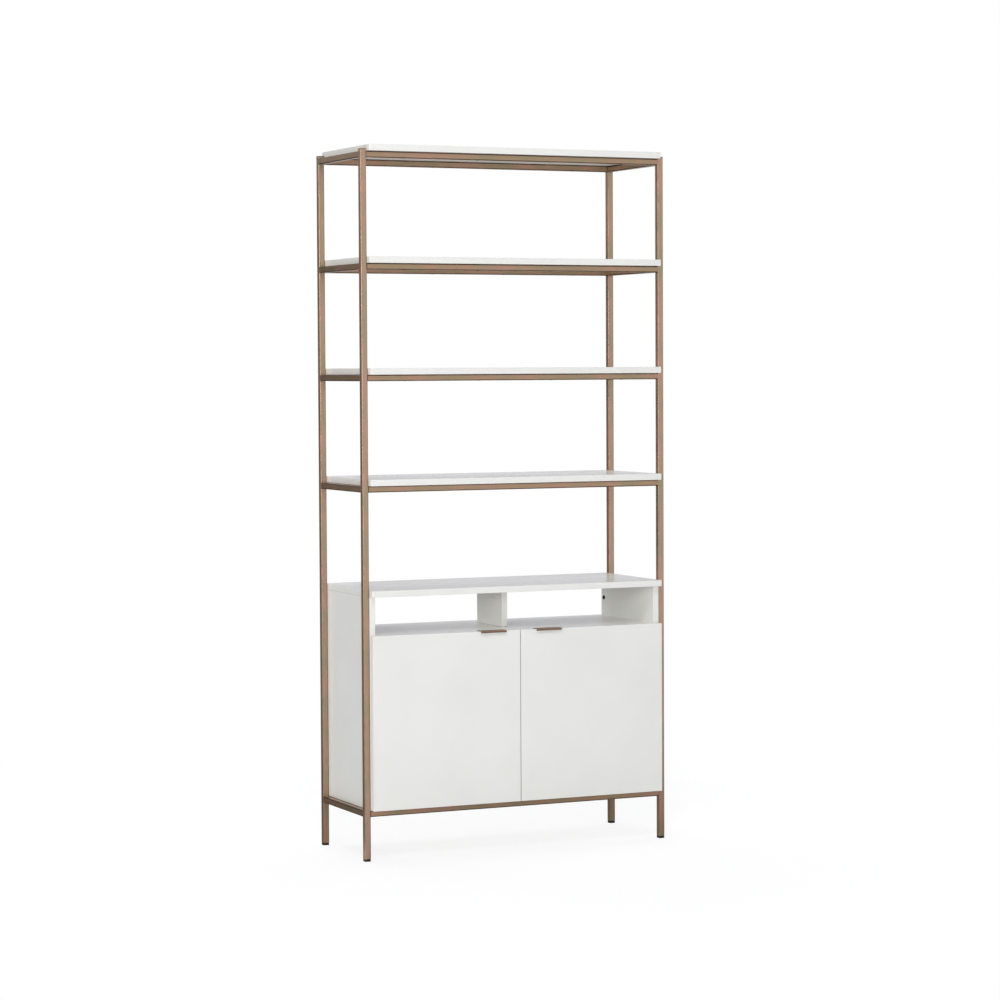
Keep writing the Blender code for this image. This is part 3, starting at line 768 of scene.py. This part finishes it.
# The link is a flat bar with round ends, swung forward from straight across, on its pin.
def buildLinks():
    s = linkShape
    half = s["thickness"] / 2
    turn = np.linspace(-math.pi / 2, math.pi / 2, 9)
    nearEnd = np.stack([-half * np.cos(turn), -half * np.sin(turn)], 1)
    farEnd = np.stack([s["length"] - half + half * np.cos(turn), half * np.sin(turn)], 1)
    cos, sin = math.cos(-s["rest"]), math.sin(-s["rest"])
    bar = np.concatenate([farEnd, nearEnd]) @ np.array([[cos, sin], [-sin, cos]])
    small = bar.mean(axis=0) + (bar - bar.mean(axis=0)) * (1 - 2 * s["ease"] / s["length"])
    top, pinHalf = s["height"] / 2, armShape["height"] / 2
    for side, level in hingePlaces:
        node = f"hinge_link_{side}_{level}"
        pin = jointPlace[f"link_{side}_{level}_pivot"]
        place = (abs(pin[0]), pin[1], pin[2])
        rings = stack([small, bar, bar, small], [-top, s["ease"] - top, top - s["ease"], top], 2, place)
        pinBody = toward(pinAlong(s["pinRadius"], -pinHalf, pinHalf), place, (0, 0, 1), (1, 0, 0))
        solids = [ringSolid(rings), pinBody]
        standIn(node, solids if side == "right" else [mirrorX(solid) for solid in solids], nickel)


buildCups()
buildArms()
buildLinks()
print("hinges built")


# Small fixings

boardScrews = {"x": (-0.36, -0.12, 0.12, 0.36), "radius": 3.6 * mm, "height": 0.45 * mm}


# Countersunk screws, nearly flush, up through the front and rear rails into each board
def buildBoardScrews():
    for level in levels:
        solids = []
        for side in ("front", "rear"):
            low, high = corners(f"rail_{level}_{side}")
            for x in boardScrews["x"]:
                place = (x, (low[1] + high[1]) / 2, low[2])
                screw = crossScrew(boardScrews["radius"], boardScrews["height"])
                solids.append(toward(screw, place, (0, 0, -1), (1, 0, 0)))
        addOn("screws" + level.capitalize(), solids, blackSteel, "frame")


# tip is the share of its radius that a dome has lost at its top
bumpers = {"radius": 4 * mm, "x": 40 * mm, "tip": 0.55}


# Silicone domes that hold the doors 3 mm off the carcass: radius falls with the cube of the share of
# the height, and the height rises a little faster than the share.
def buildBumpers():
    deckLow, deckHigh = corners("cabinet_deck")
    bottomLow, bottomHigh = corners("cabinet_bottom")
    doorRear = corners("door_left")[1][1]
    thick = deckLow[1] - doorRear - seatGap
    share = np.linspace(0, 1, 8)
    profile = np.stack([bumpers["radius"] * (1 - bumpers["tip"] * share ** 3), thick * share ** 0.9], 1)
    solids = []
    for z in ((deckLow[2] + deckHigh[2]) / 2, (bottomLow[2] + bottomHigh[2]) / 2):
        for sign in (-1, 1):
            place = (sign * bumpers["x"], deckLow[1], z)
            solids.append(toward(turned(profile, 24), place, (0, -1, 0), (1, 0, 0)))
    addOn("doorBumpers", solids, silicone, "frame")


shelfPins = {
    "fromEdge": 35 * mm, "under": 0.2 * mm, "chamfer": 0.3 * mm,
    "radius": 2.5 * mm, "straight": 6 * mm, "length": 6.8 * mm, "tip": 0.6 * mm,
    "collar": 3.8 * mm, "collarEnd": 3.4 * mm, "collarLength": 1.2 * mm,
}


# Pins with a collar, in the cabinet's sides under the inner shelf's four corners
def buildShelfPins():
    p = shelfPins
    low, high = corners("cabinet_inner_shelf")
    r, cut, wall = p["radius"], p["chamfer"], abs(low[0]) + seatGap
    shank = [(r - cut, 0), (r, cut), (r, p["straight"]), (r - p["tip"], p["length"])]
    rim, end, length = p["collar"], p["collarEnd"], p["collarLength"]
    collar = [(end, 0), (rim, cut), (rim, length - cut), (end, length)]
    solids = []
    for sign in (-1, 1):
        for y in (low[1] + p["fromEdge"], high[1] - p["fromEdge"]):
            for profile, reach, segments in ((shank, r, 20), (collar, rim, 24)):
                place = (sign * wall, y, low[2] - reach - p["under"])
                solids.append(toward(turned(profile, segments), place, (-sign, 0, 0), (0, 1, 0)))
    addOn("shelfPins", solids, nickel, "frame")


# washer is how far it stands out from the head, and also its thickness. The head's rings, in mm, run
# from its foot up the outside, over its top and down into the socket.
bolts = {
    "fromRear": 19 * mm, "height": 0.725, "radius": 5.5 * mm, "washer": 1.2 * mm, "socket": 2.6 * mm,
    "insets": (0.4, 0, 0, 0.8), "heights": (0, 0.4, 2.6, 3.2, 3.2, 0.8), "sides": 36,
}


# Hex-socket bolts on washers, which hold the cabinet's sides to the rear posts. The socket is six
# straight sides: its half width over the cosine of the angle from the nearest side's middle.
def buildBolts():
    b = bolts
    r, rim = b["radius"], b["radius"] + b["washer"]
    washer = turned([(r, 0), (rim, 0.2 * mm), (rim, 0.9 * mm), (r + b["washer"] / 2, b["washer"])])
    angle = np.arange(b["sides"]) * 2 * math.pi / b["sides"]
    hexagon = b["socket"] / np.cos((angle + math.pi / 6) % (math.pi / 3) - math.pi / 6)
    outside = [np.full(b["sides"], r - inset * mm) for inset in b["insets"]]
    reach = np.stack(outside + [hexagon, hexagon])
    depth = np.broadcast_to(np.array(b["heights"])[:, None] * mm, reach.shape)
    head = ringSolid(np.stack([reach * np.cos(angle), reach * np.sin(angle), depth], -1))
    for side, sign in (("Left", -1), ("Right", 1)):
        low, high = corners("cabinet_side_" + side.lower())
        place = (high[0] if sign < 0 else low[0], high[1] - b["fromRear"], b["height"])
        solids = [toward(solid, place, (-sign, 0, 0), (0, 1, 0)) for solid in (washer, head)]
        addOn("fixingBolt" + side, solids, blackSteel, "frame")


seatTape = {"thick": 1.6 * mm, "height": 4 * mm, "endGap": 1 * mm, "intoSeat": 0.25 * mm, "ease": 0.3 * mm}


# A black strip on the inner face of each side rail, just under the board. It blocks the light that the small
# gap there lets through, and its black is painted shade: the dark line between the two.
def buildSeamShadeStrip():
    thick, height, gap = seatTape["thick"], seatTape["height"], seatTape["endGap"]
    solids = []
    for level in levels:
        front, rear = corners(f"rail_{level}_front")[1][1], corners(f"rail_{level}_rear")[0][1]
        for side in ("left", "right"):
            low, high = corners(f"rail_{level}_{side}")
            inner, sign = (high[0], 1) if side == "left" else (low[0], -1)
            top = high[2] + seatTape["intoSeat"]
            x = sorted([inner, inner + sign * thick])
            stripLow, stripHigh = (x[0], front + gap, top - height), (x[1], rear - gap, top)
            solids.append(slab(stripLow, stripHigh, seatTape["ease"], 0, 2))
    addOn("seatTape", solids, seamShadeCoat, "frame")


buildBoardScrews()
buildSeamShadeStrip()
buildBumpers()
buildShelfPins()
buildBolts()
print("fixings built")


# Camera, light and floor

view = {
    "place": (-3.745, -8.165, 1.456),
    "yaw": 24.75,              # degrees right of straight at the front
    "pitch": 2.57,             # degrees down
    "roll": -0.29,
    "focalPixels": 2939,
    "framePixels": 1000,       # the photograph's width
    "sensor": 36,
    "clipEnd": 200,
}


def setCamera():
    v = view
    yaw, pitch, roll = (math.radians(v[k]) for k in ("yaw", "pitch", "roll"))
    forward = Vector((math.sin(yaw) * math.cos(pitch), math.cos(yaw) * math.cos(pitch), -math.sin(pitch)))
    level = Vector((math.cos(yaw), -math.sin(yaw), 0))
    upright = level.cross(forward)
    right = level * math.cos(roll) + upright * math.sin(roll)
    up = upright * math.cos(roll) - level * math.sin(roll)
    data = bpy.data.cameras.new("photoCamera")
    data.sensor_width = v["sensor"]
    data.lens = v["focalPixels"] * v["sensor"] / v["framePixels"]
    data.clip_end = v["clipEnd"]
    camera = bpy.data.objects.new("photoCamera", data)
    pose = Matrix((right, up, -forward)).transposed().to_4x4()
    pose.translation = v["place"]
    camera.matrix_world = pose
    bpy.context.scene.collection.objects.link(camera)
    bpy.context.scene.camera = camera


# Level is the brightness that the lamp alone gives a white face turned to it, which is its power over
# pi squared and the square of the distance.
lamps = {
    "key": {"azimuth": -26, "elevation": 45, "size": (1.0, 1.0), "level": 0.24},
    "fill": {"azimuth": -43, "elevation": 6, "size": (4.5, 2.2), "level": 0.41},
    "right": {"azimuth": 110, "elevation": 20, "size": (4.5, 4.5), "level": 0.25},
    "top": {"azimuth": 180, "elevation": 62, "size": (4.5, 4.5), "level": 0.26},
}
studio = {
    "lampsOff": 7.5, "world": 0.32, "worldTone": "#F7FAFF",
    "floorFade": (1.3, 2.6),    # the floor goes over to plain white between these distances
    "floorWhite": 0.72,         # how much of that white it has nearer by, and its strength there
    "floorGlow": 1.12,
    "fibreSize": 30 * mm,
    "floorSize": 45, "floorRings": 7, "floorSides": 48,
}
# Cards that only gloss sees: a dark one gives the tubes their dark left sides, down to the floor in
# front of it, a pale one gives the boards' tops their grey, and one on the floor darkens the legs.
# Each lies or stands on its own turned axes: "stands" is how far off, its bottom and its top, and
# "lies" is from and to.
cards = {
    "darkCard": {
        "tone": "#5F5A57", "half": 1.6, "stands": (4.0, 0.01, 2.5), "lies": (0.3, 3.992), "turn": 24.9,
        "place": (-0.25, 0),
    },
    "paleCard": {
        "tone": "#CFCFD8", "half": 1.9, "stands": (4.4, 0.3, 3.4), "lies": None, "turn": -24.9,
        "place": (0.1, 0),
    },
    "floorCard": {
        "tone": "#8C847C", "half": 1.2, "stands": None, "lies": (-0.62, 1.25), "turn": 204.9,
        "place": (0.68, 0.156),
    },
}


def addLamps():
    middle = (Vector(cadLow) + Vector(cadHigh)) / 2
    off = studio["lampsOff"]
    for name, lamp in lamps.items():
        a, e = math.radians(lamp["azimuth"]), math.radians(lamp["elevation"])
        away = Vector((math.sin(a) * math.cos(e), -math.cos(a) * math.cos(e), math.sin(e)))
        data = bpy.data.lights.new(name, "AREA")
        data.shape = "RECTANGLE"
        data.size, data.size_y = lamp["size"]
        data.energy = lamp["level"] * math.pi ** 2 * off ** 2
        made = bpy.data.objects.new(name, data)
        made.location = middle + away * off
        made.rotation_euler = away.to_track_quat("Z", "Y").to_euler()
        made.visible_camera = False
        made.visible_glossy = name != "right"    # the boards' gloss tops don't mirror this one
        bpy.context.scene.collection.objects.link(made)


# One where the ray comes from the camera, or off gloss or through glass
def seenDirectly(tree):
    seen = addNode(tree, "LightPath", out="Is Camera Ray")
    for name in ("Is Glossy Ray", "Is Transmission Ray"):
        other = addNode(tree, "LightPath", out=name)
        seen = addNode(tree, "Math", {"operation": "MAXIMUM"}, {0: seen, 1: other})
    return seen


def setWorld():
    world = bpy.data.worlds.new("whiteStudio")
    bpy.context.scene.world = world
    world.use_nodes = True
    tree = world.node_tree
    tree.nodes.clear()
    dim = addNode(tree, "Background", {"Color": linear(studio["worldTone"]), "Strength": studio["world"]})
    white = addNode(tree, "Background", {"Color": linear("#FFFFFF"), "Strength": 1})
    mix = addNode(tree, "MixShader", {}, {0: seenDirectly(tree), 1: dim, 2: white})
    addNode(tree, "OutputWorld", {}, {"Surface": mix})


# Floor: white paper, shaded near the object and plain white further out
def setFloor():
    made = bpy.data.materials.new("whitePaperFloor")
    made.use_nodes = True
    tree = made.node_tree
    tree.nodes.clear()
    place = addNode(tree, "TexCoord", out="Object")
    fibres = addNode(tree, "TexNoise", {"Scale": 1 / studio["fibreSize"], "Detail": 4}, {"Vector": place})
    fibres = addNode(tree, "MapRange", noiseRange, {"Value": fibres})
    whites = {"data_type": "RGBA", 6: linear("#F4F4F4"), 7: linear("#EFEFEF")}
    paper = addNode(tree, "BsdfDiffuse", {}, {"Color": addNode(tree, "Mix", whites, {0: fibres}, out=2)})
    distance = addNode(tree, "VectorMath", {"operation": "LENGTH"}, {0: place}, out="Value")
    near, far = studio["floorFade"]
    ends = {"From Min": near, "From Max": far}
    fade = addNode(tree, "MapRange", {**ends, "To Min": studio["floorWhite"]}, {"Value": distance})
    seen = addNode(tree, "Math", {"operation": "MULTIPLY"}, {0: seenDirectly(tree), 1: fade})
    strength = addNode(tree, "MapRange", {**ends, "To Min": studio["floorGlow"]}, {"Value": distance})
    glow = addNode(tree, "Emission", {"Color": linear("#FFFFFF")}, {"Strength": strength})
    mix = addNode(tree, "MixShader", {}, {0: seen, 1: paper, 2: glow})
    addNode(tree, "OutputMaterial", {}, {"Surface": mix})
    # rings round the origin, each at half the last one's distance, with the innermost filled
    count, sides = studio["floorRings"], studio["floorSides"]
    radii = studio["floorSize"] * 0.5 ** np.arange(count)[:, None]
    angle = np.arange(sides) * 2 * math.pi / sides
    rings = np.stack([radii * np.cos(angle), radii * np.sin(angle), np.zeros((count, sides))], -1)
    points, faces, edge = ringSolid(rings)
    floor = makePiece("studioFloor", [(points, faces[:-2] + [faces[-1]], edge)], made)


def cardMaterial(name, tone):
    made = bpy.data.materials.new(name)
    made.use_nodes = True
    tree = made.node_tree
    tree.nodes.clear()
    glow = addNode(tree, "Emission", {"Color": linear(tone), "Strength": 1})
    addNode(tree, "OutputMaterial", {}, {"Surface": glow})
    return made


cardThick, cardEase, cardOffFloor = 4 * mm, 1 * mm, 1 * mm


def setCards():
    for name, card in cards.items():
        half, turn, solids = card["half"], math.radians(card["turn"]), []
        if card["stands"]:
            off, bottom, top = card["stands"]
            solids.append(slab((-half, off - cardThick, bottom), (half, off, top), cardEase, 1, 2))
        if card["lies"]:
            start, end = card["lies"]
            low, high = (-half, start, cardOffFloor), (half, end, cardOffFloor + cardThick)
            solids.append(slab(low, high, cardEase, 2, 2))
        along = (math.cos(turn), math.sin(turn), 0)
        placed = [toward(solid, (*card["place"], 0), (0, 0, 1), along) for solid in solids]
        made = makePiece(name, placed, cardMaterial(name, card["tone"]))
        made.visible_camera = made.visible_diffuse = made.visible_shadow = made.visible_transmission = False


setCamera()
addLamps()
setWorld()
setFloor()
setCards()
bpy.context.scene.view_settings.view_transform = "Standard"
print("camera, light and floor set")
